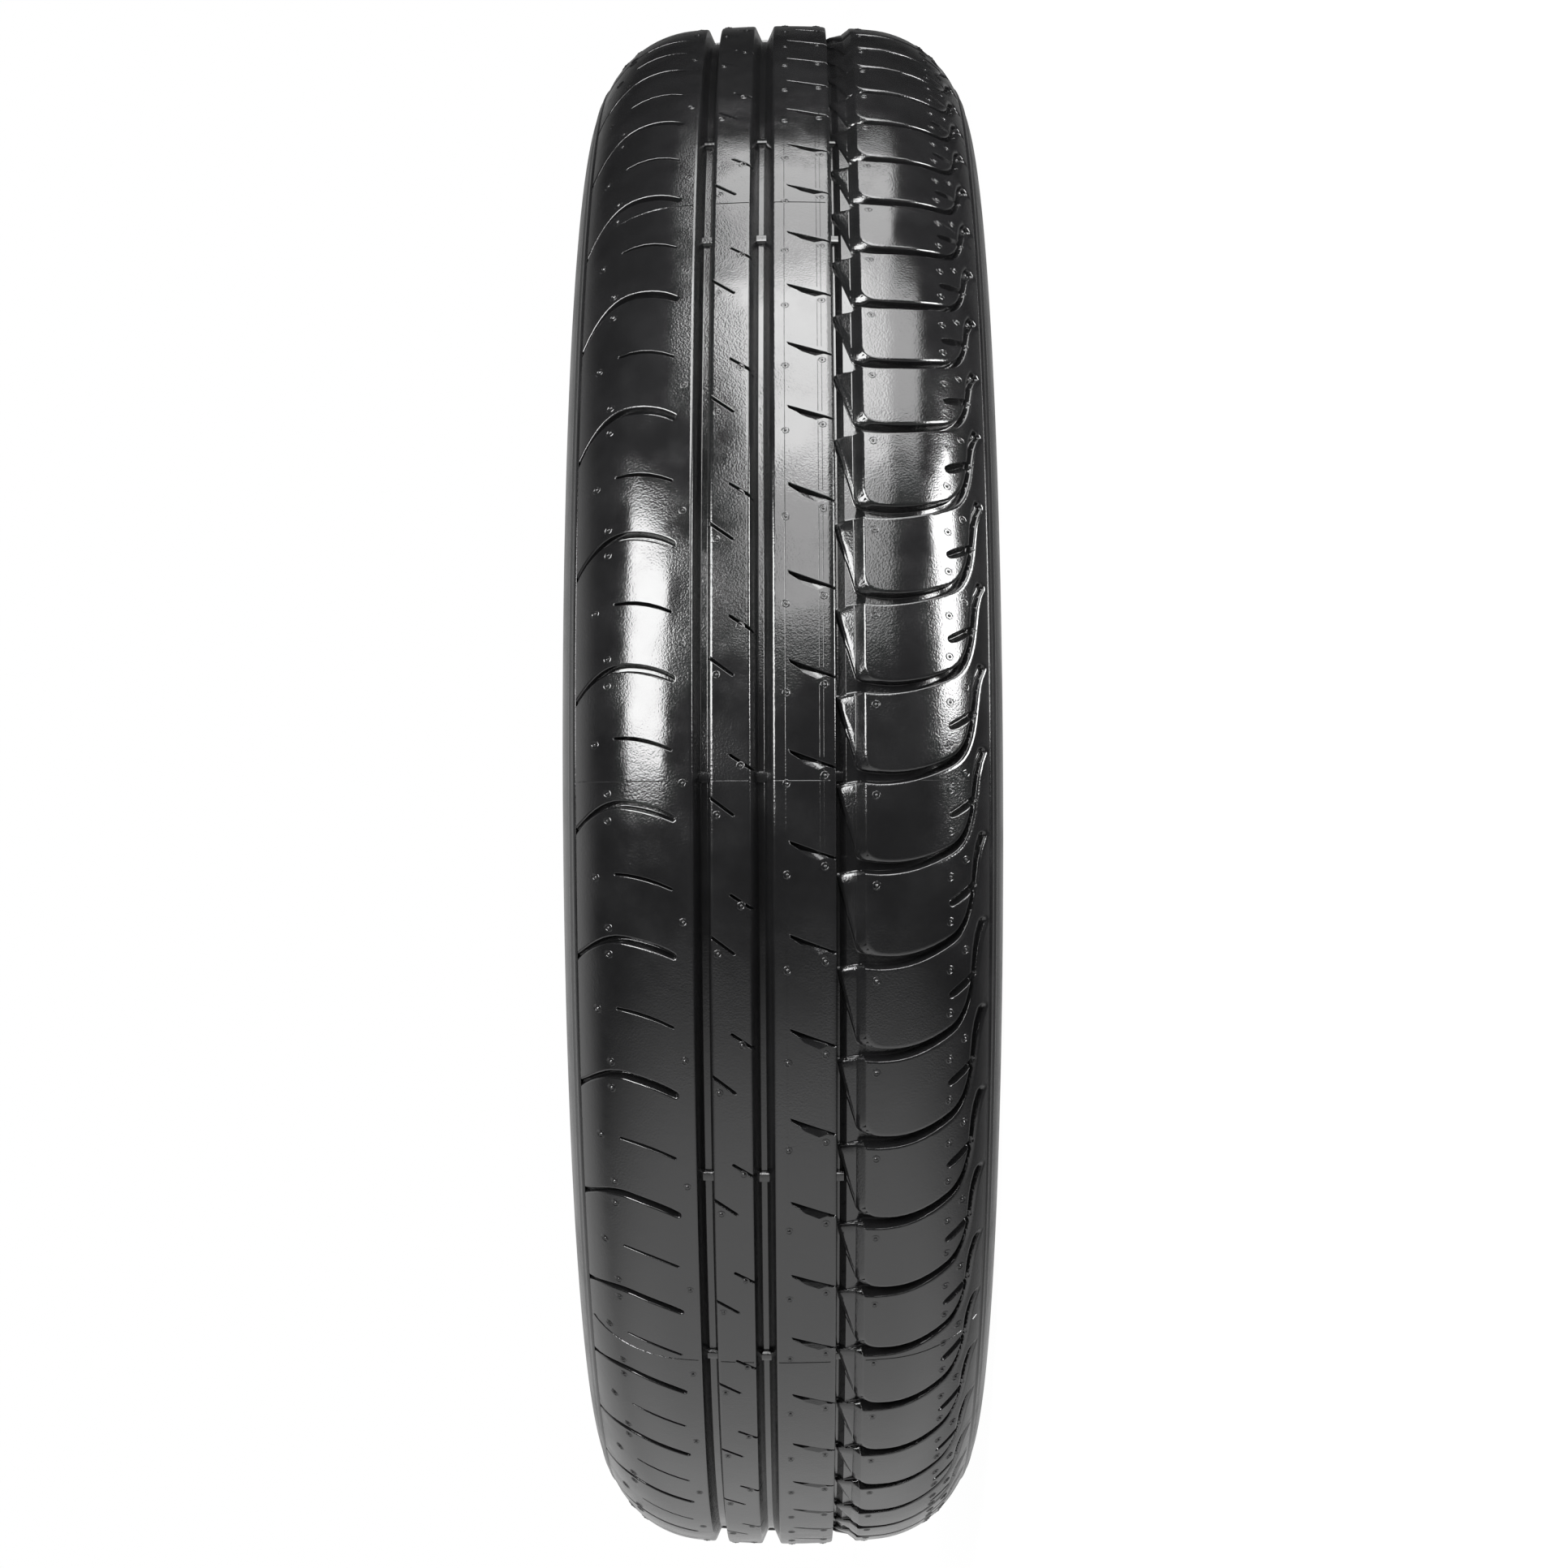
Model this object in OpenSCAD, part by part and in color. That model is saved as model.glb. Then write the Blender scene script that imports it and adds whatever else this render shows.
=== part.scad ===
// Car tyre, moulded in one piece: tall and narrow, with an asymmetric tread.
// Its axis is Z and its centre is the origin. It lies on the sidewall next to the lateral
// grooves, so +Z is the side with the curved grooves. -Y is the strip of tread that faces
// the viewer. Millimetres and degrees.

/* [Section] */
// Outer diameter over the crown
outer_d = 700; // [690:1:712]
// Width over the two sidewalls
section_w = 166; // [163:1:170]
// Diameter of the bead seats, which is that of the rim
bead_d = 486; // [482:1:490]
// Width over the outer faces of the two beads
bead_span = 132; // [126:1:136]
// Width of one bead seat, from heel to toe
bead_seat_w = 15; // [13:0.5:17]
// Thickness of a sidewall where the tyre is widest
wall_t = 5.8; // [4.5:0.1:7]
// Thickness under the tread, from the groove floors to the air chamber
undertread_t = 6.4; // [5.5:0.1:8]

/* [Tread] */
// Width of the tread between its two edge lines
tread_w = 153; // [150:0.5:155]
// Radius of the crown, across the tread
crown_r = 403; // [380:1:600]
// Half width of the crown, where the round shoulders start, on a tread drawn 153 wide
crown_half = 40; // [38:0.5:42]
// Radius of the shoulders, across a tread drawn 153 wide
shoulder_r = 46; // [45:0.5:52]
// Depth of the grooves that run round the tyre
groove_depth = 6.8; // [5:0.1:7.5]
// Width of the wear bars in those grooves
wear_bar_w = 4.5; // [2:0.5:8]
// Height that the wear bars leave
wear_bar_h = 1.6; // [1.2:0.1:2]

/* [Pitches] */
// Short, middle and long pitch of the lateral grooves, along the tread
lateral_pitch = [28.1, 33, 35.6]; // [25:0.1:40]
// Short, middle and long pitch of the curved shoulder grooves
curved_pitch = [47.5, 51, 54.5]; // [45:0.1:58]
// Width of the fine sipes
sipe_w = 0.8; // [0.6:0.1:1.2]
// Angle of the first lateral groove above the middle of the view
lateral_start = 63.81; // [60:0.01:66]
// Angle of the first curved groove above the middle of the view
curved_start = 59.62; // [57:0.01:62]

/* [Hidden] */
$fn = 96;

rubber = "#1a1b1c";
outer_r = outer_d / 2;
bead_r = bead_d / 2;
half_w = section_w / 2;
edge_z = tread_w / 2;

// The order of the pitches, downwards in the view and once round the tyre.
// An uneven order keeps the tread from humming at one note.
lateral_order = str("SSSSSSSSSLMMMMLLLLMMLLMM",
                    "SSMLLSSSMMLLLSSSMLLMSSSMMLLSSMMLLSSSLMMLSMSLL");
curved_order = str("LLLLMMMMLMSSSM", "LLMSSMLLLSSMMSSLLMMSSLLSMLSML");

function pitch_of(letter, pitch) = letter == "S" ? pitch[0] : letter == "M" ? pitch[1] : pitch[2];
function pitches(order, pitch) = [for (letter = order) pitch_of(letter, pitch)];
function total(list, n) = n == 0 ? 0 : list[n - 1] + total(list, n - 1);

lateral = pitches(lateral_order, lateral_pitch);
curved = pitches(curved_order, curved_pitch);
lateral_sum = total(lateral, len(lateral));
curved_sum = total(curved, len(curved));

// The tread is drawn 153 wide, and every drawn distance across it follows its real width
drawn_w = 153;
function across(v) = v * tread_w / drawn_w;
crown_z = across(crown_half);
round_r = across(shoulder_r);
crown_tilt = asin(crown_z / crown_r);

// The grooves that run round the tyre: left edge and right edge, as drawn
left_groove = [-32.5, -26.3];
middle_groove = [-11.6, -3.5];
right_groove = [19.5, 22.5];
// The ledge between the right groove and the blocks: its far edge and its two depths
ledge_v = 30.6;
ledge_depth = [4.4, 1.8];
// Where the wear bars cross those grooves, as angles upwards from the middle of the view
wear_bar_turns = [0.5, 37.8, 48.5, 80.5, 120.5, 160.5, 200.5, 240.5, 280.5, 319.7, 334.8];

// Radius of the bare tread surface at a real distance z from the middle
function shoulder_sin(z) = (abs(z) - crown_z) / round_r + sin(crown_tilt);
function crown_drop(z) = crown_r - sqrt(crown_r * crown_r - z * z);
function tread_drop(z) = abs(z) <= crown_z ? crown_drop(z)
    : crown_drop(crown_z) + round_r * (cos(crown_tilt) - sqrt(1 - pow(shoulder_sin(z), 2)));
function tread_r(z) = outer_r - tread_drop(z);
function drawn_r(v) = tread_r(across(v));
function on_tread(v, depth = 0, in = 0) = [drawn_r(v) - depth, across(v) + in];

// A chord is [first, last] distance from the middle, as drawn: the flat that a cutter stands on
function tilt(chord) = atan((drawn_r(chord[0]) - drawn_r(chord[1])) / across(chord[1] - chord[0]));
function onto(points, chord) =
    [for (p = points) [across(p[0] - chord[0]) / cos(tilt(chord)), p[1]]];
rib_chord = [-30, -8];
left_chord = [-38, -60];
left_end_chord = [-58, -76];
centre_chord = [0, 22];
block_chord = [21, 56];
block_end_chord = [53, 76];

// A curve through three control points, and a strip along a path
function curve(a, b, c, n) =
    [for (i = [0:n]) let (t = i / n) a * pow(1 - t, 2) + 2 * b * t * (1 - t) + c * t * t];
function side(path, i) =
    let (d = path[min(i + 1, len(path) - 1)] - path[max(i - 1, 0)]) [-d[1], d[0]] / norm(d);
function strip(path, w) = concat(
    [for (i = [0:len(path) - 1]) path[i] - side(path, i) * w[i] / 2],
    [for (i = [len(path) - 1:-1:0]) path[i] + side(path, i) * w[i] / 2]);
function stretch(path, k) = [for (p = path) [p[0], p[1] * k]];

// Sidewall: a round flank down to the bead, outside and inside. Its radii are shares of the
// height from the bead to the edge line, which are 0 at the bead and 1 at the widest place
edge_r = tread_r(edge_z);
wall_h = edge_r - bead_r;
widest_r = bead_r + 0.701 * wall_h;
flank_r = 0.6 * wall_h;
function flank_z(r) = half_w - flank_r + sqrt(pow(flank_r, 2) - pow(r - widest_r, 2));
function share(s) = bead_r + s * (widest_r - bead_r);

function groove(edges, depth, wall = 0.35) = [
    on_tread(edges[0]), on_tread(edges[0], depth, wall),
    on_tread(edges[1], depth, -wall), on_tread(edges[1])];

half_v = drawn_w / 2;
function tread_profile() = concat(
    [for (v = [-half_v, -72, -67, -61, -54, -47, -40]) on_tread(v)],
    groove(left_groove, groove_depth), groove(middle_groove, groove_depth),
    [on_tread(8)],
    [on_tread(right_groove[0]), on_tread(right_groove[0], groove_depth, 0.35),
     on_tread(right_groove[1], groove_depth, -0.2), on_tread(right_groove[1], ledge_depth[0]),
     on_tread(ledge_v, ledge_depth[1]), on_tread(ledge_v + 0.2)],
    [for (v = [40, 47, 54, 61, 67, 72, half_v]) on_tread(v)]);

// One outer side from the edge line down to the toe of the bead
line_h = 0.5;
bead_face = bead_span / 2;
function outer_side() = [
    [edge_r - 0.6, edge_z + line_h], [edge_r - 2.2, flank_z(edge_r - 2.2) + line_h],
    [edge_r - 3, flank_z(edge_r - 3)],
    for (s = [1.25, 1.12, 1, 0.88, 0.73, 0.577]) [share(s), flank_z(share(s))],
    [share(0.37), bead_face + 3.4], [share(0.335), bead_face + 3.2], [share(0.317), bead_face + 1.6],
    [share(0.229), bead_face + 0.6], [share(0.088), bead_face],
    [bead_r + 1.5, bead_face - 1.4], [bead_r, bead_face - 4],
    [bead_r, bead_face - bead_seat_w - 1.5], [bead_r + 1, bead_face - bead_seat_w - 2]];

// One inner side from the toe up to the crown, a wall's thickness inside the outer one
bead_t = 6;
shoulder_t = [10, 4];
crown_t = groove_depth + undertread_t + 0.7;
shoulder_z = min(edge_z, flank_z(edge_r));
function under(z, thick) = [tread_r(z) - thick, z];
function inner_side() = concat(
    curve([share(0.123), bead_face - bead_seat_w - 1], [share(0.317), bead_face - 11],
          [share(0.476), (bead_face + 3.4 + flank_z(share(0.577))) / 2 - bead_t], 3),
    curve([share(0.635), flank_z(share(0.635)) - 0.89 * wall_t], [share(0.859), half_w - wall_t],
          [share(1.07), half_w - wall_t], 2),
    curve(under(shoulder_z - 2.3, shoulder_t[0]), under(shoulder_z - 7.3, shoulder_t[1]),
          under(shoulder_z - 24.5, crown_t), 4),
    [under(across(24), crown_t)]);

function reversed(list) = [for (i = [len(list) - 1:-1:0]) list[i]];
function mirrored(list) = [for (p = list) [p[0], -p[1]]];

module casing() {
    rotate_extrude()
        polygon(concat(tread_profile(), outer_side(), inner_side(),
                       reversed(mirrored(inner_side())), reversed(mirrored(outer_side()))));
}

// Cuts an outline, x across the drawn tread and y up the view, to a depth below a chord
module cut(angle, chord, depth, points) {
    rotate([0, 0, -90 - angle]) translate([drawn_r(chord[0]), 0, across(chord[0])])
        rotate([0, 90 - tilt(chord), 0]) rotate([0, 0, 180]) translate([0, 0, -depth])
            linear_extrude(depth + 7) polygon(onto(points, chord));
}

// Lateral groove: its mouth opens into the right groove, its tail runs up the shoulder
module lateral_groove(angle, pitch) {
    k = pitch / 32.7;
    mouth = [[right_groove[1] - 0.8, -1.9], [ledge_v - 0.6, -1.9]];
    main = strip(curve([33, 0.9], [44, -1.8], [55.4, 3.2], 3), [4.6, 4.1, 3.5, 3]);
    tooth = [[31.8, 4.2], [29.6, 5.6], [right_groove[1] + 0.2, pitch - 3.4],
             [right_groove[1] - 0.8, pitch - 3.4]];
    cut(angle, block_chord, 5.8, concat(mouth, main, tooth));
    end = concat(curve([53.4, 2.5], [68.6, 8.6], [70.4, 26], 4), [[71.4, 36], [73.9, 44]]);
    cut(angle, block_end_chord, 2.9, strip(stretch(end, k), [3.1, 2.8, 2.4, 1.9, 1.4, 1.5, 2.3]));
    notch = [[61.8, 19.6], [63, 20], [69.8, 24.2]];
    cut(angle, block_end_chord, 1.6, strip(stretch(notch, k), [1.2, 2.2, 2]));
}

// Teardrop on the centre rib, which runs out into the right groove
module teardrop(angle, pitch) {
    outline = [[2.4, 10.2], [3.2, 9.2], [8.2, 5.4], [13.6, 4.1], [15.4, 4.9], [20.6, 2.7], [20.6, 3.6]];
    cut(angle, centre_chord, 4.5, stretch(outline, pitch / 32.7));
}

// Curved groove of the left shoulder, in two lengths because the shoulder is round
module curved_groove(angle) {
    cut(angle, left_chord, 3.4, strip(curve([-40, -5], [-48, -0.6], [-59, 0], 3), [1.6, 2.7, 2.7, 2.7]));
    cut(angle, left_end_chord, 1.4,
        strip(curve([-57.6, 0], [-67.6, 0.4], [-75.4, -10.2], 3), [2.7, 2.4, 1.6, 1]));
}

module sipe(angle, chord, path) {
    cut(angle, chord, 4, strip(path, [for (p = path) sipe_w]));
}

module pattern() {
    for (i = [0:len(lateral) - 1]) {
        // A groove takes the pitch above it, up to the groove before it
        pitch = lateral[(i + len(lateral) - 1) % len(lateral)] * 2 * PI * outer_r / lateral_sum;
        angle = lateral_start - 360 * total(lateral, i) / lateral_sum;
        lateral_groove(angle, pitch);
        teardrop(angle, pitch);
    }
    for (i = [0:len(curved) - 1]) {
        peak = curved_start - 360 * total(curved, i) / curved_sum;
        between = peak - 180 * curved[i] / curved_sum;
        curved_groove(peak);
        sipe(between, left_chord, curve([-61, -0.8], [-51, -0.8], [-40.4, -5.5], 2));
        sipe(peak, rib_chord, [[left_groove[1] - 1, 3.5], [-17.9, -3.8]]);
        sipe(between, rib_chord, [[-18.8, -7.6], [middle_groove[0] + 1, -12.9]]);
    }
}

// Low bars across the three grooves that show when the tread is worn
module wear_bars() {
    module bar(angle, edges) {
        floor_r = drawn_r((edges[0] + edges[1]) / 2) - groove_depth;
        rotate([0, 0, -90 - angle])
            translate([floor_r - 2, -wear_bar_w / 2, across(edges[0]) - 0.5])
                cube([2 + wear_bar_h, wear_bar_w, across(edges[1] - edges[0]) + 1]);
    }
    for (turn = wear_bar_turns, edges = [left_groove, middle_groove, right_groove]) bar(turn, edges);
}

module tyre() {
    color(rubber) rotate([0, 180, 0]) difference() {
        union() {
            casing();
            wear_bars();
        }
        pattern();
    }
}

tyre();
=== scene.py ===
# Car tyre seen square on to its tread: the tread is drawn flat, one pitch at a time,
# and Geometry Nodes repeat the pitches and wrap them round the tyre.
import math
import bpy
import numpy as np
from mathutils import Matrix, Vector
from mathutils.geometry import delaunay_2d_cdt


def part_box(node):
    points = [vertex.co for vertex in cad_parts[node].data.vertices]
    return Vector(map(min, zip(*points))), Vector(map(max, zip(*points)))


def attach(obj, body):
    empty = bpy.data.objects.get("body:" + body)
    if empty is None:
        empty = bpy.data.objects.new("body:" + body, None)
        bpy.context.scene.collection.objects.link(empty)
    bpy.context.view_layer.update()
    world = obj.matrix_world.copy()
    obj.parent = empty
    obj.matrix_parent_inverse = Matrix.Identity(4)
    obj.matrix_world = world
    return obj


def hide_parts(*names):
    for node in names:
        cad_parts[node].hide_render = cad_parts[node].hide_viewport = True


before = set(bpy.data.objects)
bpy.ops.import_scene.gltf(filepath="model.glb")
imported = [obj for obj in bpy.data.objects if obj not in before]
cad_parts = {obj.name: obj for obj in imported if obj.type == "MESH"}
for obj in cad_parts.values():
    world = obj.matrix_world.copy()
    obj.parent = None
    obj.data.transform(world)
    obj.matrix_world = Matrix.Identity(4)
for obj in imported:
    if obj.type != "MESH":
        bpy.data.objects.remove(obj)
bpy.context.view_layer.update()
mm = 0.001

# Sizes, in millimetres, from the frame's own box
low, high = (np.array(corner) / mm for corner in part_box("tyre"))
tyre = {
    "radius": (high[0] - low[0]) / 2,
    "halfWidth": (high[2] - low[2]) / 2,
    "crownRadius": 403.0,
    "crownHalf": 40.0,
    "shoulderRadius": 46.0,
    "edgeHalf": 76.5,                                # half width of the tread, out to its edge line
    "grooveDepth": 6.8,
    "knurlFrom": 298.0, "knurlTo": 309.0,            # radii between which the sidewall is knurled
}
tau = 2 * math.pi


# Flat drawing of the tread: v runs across it, u up the view, h out of the rubber
def curve(a, b, c, n=8):
    t = np.linspace(0, 1, n + 1)[:, None]
    return np.array(a) * (1 - t) ** 2 + 2 * np.array(b) * t * (1 - t) + np.array(c) * t * t


def strip(path, widths):
    # Distance into a groove of changing width along a path, positive inside
    path = np.array(path, float)
    half = np.interp(np.linspace(0, 1, len(path)), np.linspace(0, 1, len(widths)), widths) / 2

    def inside(p):
        best = np.full(len(p), -1e3)
        for a, b, wa, wb in zip(path[:-1], path[1:], half[:-1], half[1:]):
            ab = b - a
            t = np.clip(((p - a) @ ab) / (ab @ ab), 0, 1)
            away = np.linalg.norm(p - a - t[:, None] * ab, axis=1)
            best = np.maximum(best, wa + t * (wb - wa) - away)
        return best
    return inside


def corners(points):
    # A convex outline, anticlockwise
    points = np.array(points, float)

    def inside(p):
        best = np.full(len(p), 1e3)
        for a, b in zip(points, np.roll(points, -1, axis=0)):
            along = (b - a) / np.linalg.norm(b - a)
            best = np.minimum(best, (p - a) @ np.array([-along[1], along[0]]))
        return best
    return inside


def together(*shapes, soft=0.0):
    # Union; soft rounds the corners of the rubber between two grooves
    def inside(p):
        best = shapes[0](p)
        for shape in shapes[1:]:
            other = shape(p)
            if soft:
                mix = np.clip(0.5 + 0.5 * (best - other) / soft, 0, 1)
                best = other + mix * (best - other) + soft * mix * (1 - mix)
            else:
                best = np.maximum(best, other)
        return best
    return inside


def everyPitch(shape, pitch):
    return lambda p: np.max([shape(p - np.array([0, k * pitch])) for k in (-2, -1, 0, 1)], axis=0)


class Cut:
    # A groove's section, set by the distance into its outline: a rim that bends down,
    # a steep wall and a foot that bends out to the floor
    def __init__(self, inside, depth, rim=(0.75, 0.75), wall=0.3, foot=0.7, levels=None):
        self.inside, self.depth = inside, depth
        (self.rim, self.drop), self.wall, self.foot = rim, wall, foot
        self.ownRings = None
        self.levels = levels or [-self.rim, -0.5 * self.rim, -0.15 * self.rim, 0.0, wall,
                                 wall + 0.3 * foot, wall + foot]

    def height(self, p):
        depth = self.depth(p) if callable(self.depth) else np.full(len(p), float(self.depth))
        drop = np.minimum(self.drop, depth * 0.45)
        foot = np.minimum(self.foot, depth * 0.45)
        d = self.inside(p)
        x = np.clip(d / self.rim + 1, 0, 1)
        y = np.clip((self.wall + self.foot - d) / self.foot, 0, 1)
        rim = drop * (1 - np.sqrt(1 - x * x))
        toe = depth - foot * (1 - np.sqrt(1 - y * y))
        wall = drop + (depth - drop - foot) * np.clip(d / self.wall, 0, 1)
        return -np.where(d <= 0, rim, np.where(d < self.wall, wall, toe))


def sipe(path, widths, depth, rim=0.3):
    # A narrow slot with a sharp bottom, which draws its rings straight from its path
    path = np.array(path, float)
    along = np.gradient(path, axis=0)
    along /= np.linalg.norm(along, axis=1)[:, None]
    across = np.stack([-along[:, 1], along[:, 0]], axis=1)
    half = np.interp(np.linspace(0, 1, len(path)), np.linspace(0, 1, len(widths)), widths) / 2
    cut = Cut(strip(path, widths), depth, (rim, rim), half.min() * 0.8, 0.05,
              [-rim, -0.3 * rim, 0.0, half.min() * 0.8])
    cut.ownRings = []
    for level in cut.levels:
        w = half - level
        turns = np.radians([-60, -20, 20, 60] if w.max() > 0.6 else [-45, 45])
        head = [path[-1] + w[-1] * (along[-1] * np.cos(a) + across[-1] * np.sin(a)) for a in turns]
        tail = [path[0] - w[0] * (along[0] * np.cos(a) + across[0] * np.sin(a)) for a in turns]
        cut.ownRings.append(np.array(list(path - across * w[:, None]) + head
                                     + list((path + across * w[:, None])[::-1]) + tail))
    return cut


class Facet:
    # A flat chamfer inside a convex outline, which falls away from its first edges
    def __init__(self, outline, lowerEdges, slope):
        self.outline, self.slope = np.array(outline, float), slope
        self.inside = corners(outline)
        self.lower = self.outline[:lowerEdges + 1]
        middle = self.outline.mean(axis=0)
        self.ownRings = [self.outline, middle + (self.outline - middle) * 0.86]
        self.levels = [0.0]

    def height(self, p):
        away = np.full(len(p), 1e3)
        for a, b in zip(self.lower[:-1], self.lower[1:]):
            along = (b - a) / np.linalg.norm(b - a)
            away = np.minimum(away, (p - a) @ np.array([-along[1], along[0]]))
        on = self.inside(p) > -0.01
        return np.where(on, -self.slope * np.maximum(away, 0), 0.0)


def outlineRings(inside, level, vs, us):
    # Marching squares over one tile, then each point is set exactly on the level
    grid = np.stack(np.meshgrid(vs, us, indexing="ij"), axis=-1)
    f = inside(grid.reshape(-1, 2)).reshape(len(vs), len(us)) - level
    f = np.where(np.abs(f) < 1e-9, 1e-9, f)
    high = f > 0
    cells = np.argwhere(~((high[:-1, :-1] == high[1:, :-1]) & (high[:-1, :-1] == high[:-1, 1:])
                          & (high[:-1, :-1] == high[1:, 1:])))
    points, links = {}, {}

    def crossing(i, j, k):
        key = (i, j, k)
        if key not in points:
            i2, j2 = (i + 1, j) if k == 0 else (i, j + 1)
            t = f[i, j] / (f[i, j] - f[i2, j2])
            points[key] = grid[i, j] * (1 - t) + grid[i2, j2] * t
        return key

    for i, j in cells:
        edges = [(i, j, 0), (i + 1, j, 1), (i, j + 1, 0), (i, j, 1)]
        ends = [((i, j), (i + 1, j)), ((i + 1, j), (i + 1, j + 1)),
                ((i, j + 1), (i + 1, j + 1)), ((i, j), (i, j + 1))]
        hit = [crossing(*e) for e, (a, b) in zip(edges, ends) if high[a] != high[b]]
        if len(hit) == 4 and high[i, j] != (f[i:i + 2, j:j + 2].mean() > 0):
            hit = [hit[3], *hit[:3]]
        for a, b in zip(hit[::2], hit[1::2]):
            links.setdefault(a, []).append(b)
            links.setdefault(b, []).append(a)

    rings, used = [], set()
    for start in sorted(links, key=lambda k: len(links[k])):
        if start in used:
            continue
        ring, at = [start], start
        used.add(start)
        while True:
            after = [k for k in links[at] if k not in used]
            if not after:
                break
            at = after[0]
            used.add(at)
            ring.append(at)
        closed = len(links[start]) == 2 and start in links[at] and len(ring) > 2
        line = np.array([points[k] for k in ring])
        if len(line) > 1:
            rings.append((settle(inside, level, line, us[0], us[-1], vs[0], vs[-1]), closed))
    return rings


def slopeOf(inside, p, step=0.02):
    # How a value drawn over the tread rises along v and along u
    dv, du = np.array([step, 0]), np.array([0, step])
    return np.stack([(inside(p + dv) - inside(p - dv)) / (2 * step),
                     (inside(p + du) - inside(p - du)) / (2 * step)], axis=1)


def settle(inside, level, line, lowU, highU, lowV, highV):
    # Moves points onto the level, those on the tile's edges only along the edge
    line = line.copy()
    onU = (np.abs(line[:, 1] - lowU) < 1e-6) | (np.abs(line[:, 1] - highU) < 1e-6)
    onV = (np.abs(line[:, 0] - lowV) < 1e-6) | (np.abs(line[:, 0] - highV) < 1e-6)
    for _ in range(2):
        g = slopeOf(inside, line)
        g[onU, 1] = 0
        g[onV, 0] = 0
        size = (g ** 2).sum(axis=1)
        move = g * ((level - inside(line)) / np.maximum(size, 0.2))[:, None]
        far = np.linalg.norm(move, axis=1, keepdims=True)
        line += move * np.minimum(1, 0.15 / np.maximum(far, 1e-9))
    line[:, 1] = np.clip(line[:, 1], lowU, highU)
    line[:, 0] = np.clip(line[:, 0], lowV, highV)
    return line


def thinned(line, closed, away, longest):
    # Leaves out the points that lie within a small distance of a straight run
    keep = [0]
    if closed:
        line = np.vstack([line, line[:1]])
    at = 0
    while at < len(line) - 1:
        best = at + 1
        for to in range(at + 2, len(line)):
            run = line[to] - line[at]
            size = np.linalg.norm(run)
            if size > longest or size < 1e-9:
                break
            off = np.abs(np.cross(run / size, line[at + 1:to] - line[at]))
            if off.max() > away:
                break
            best = to
        keep.append(best)
        at = best
    return line[keep]


# How the flat tiles are meshed, in millimetres
meshing = {
    "cell": 0.3,                                     # grid on which outlines are looked for
    "straight": 0.03, "longest": 4.5,                # an outline's points are thinned within these
    "fill": 6.5, "crownStep": 7.0, "shoulderStep": 3.0,  # points of the open ground, along and across
    "clearBefore": 0.8, "clearInside": 0.5,          # open ground's points keep off the grooves' walls
    "roundFrom": 37.0,                               # half width at which the shoulder's step begins
    "creasePoints": 11,
    "touching": 2e-3, "closest": 0.012,
    "steepest": 12.0,                                # slope at which a wall counts as upright
}


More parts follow.
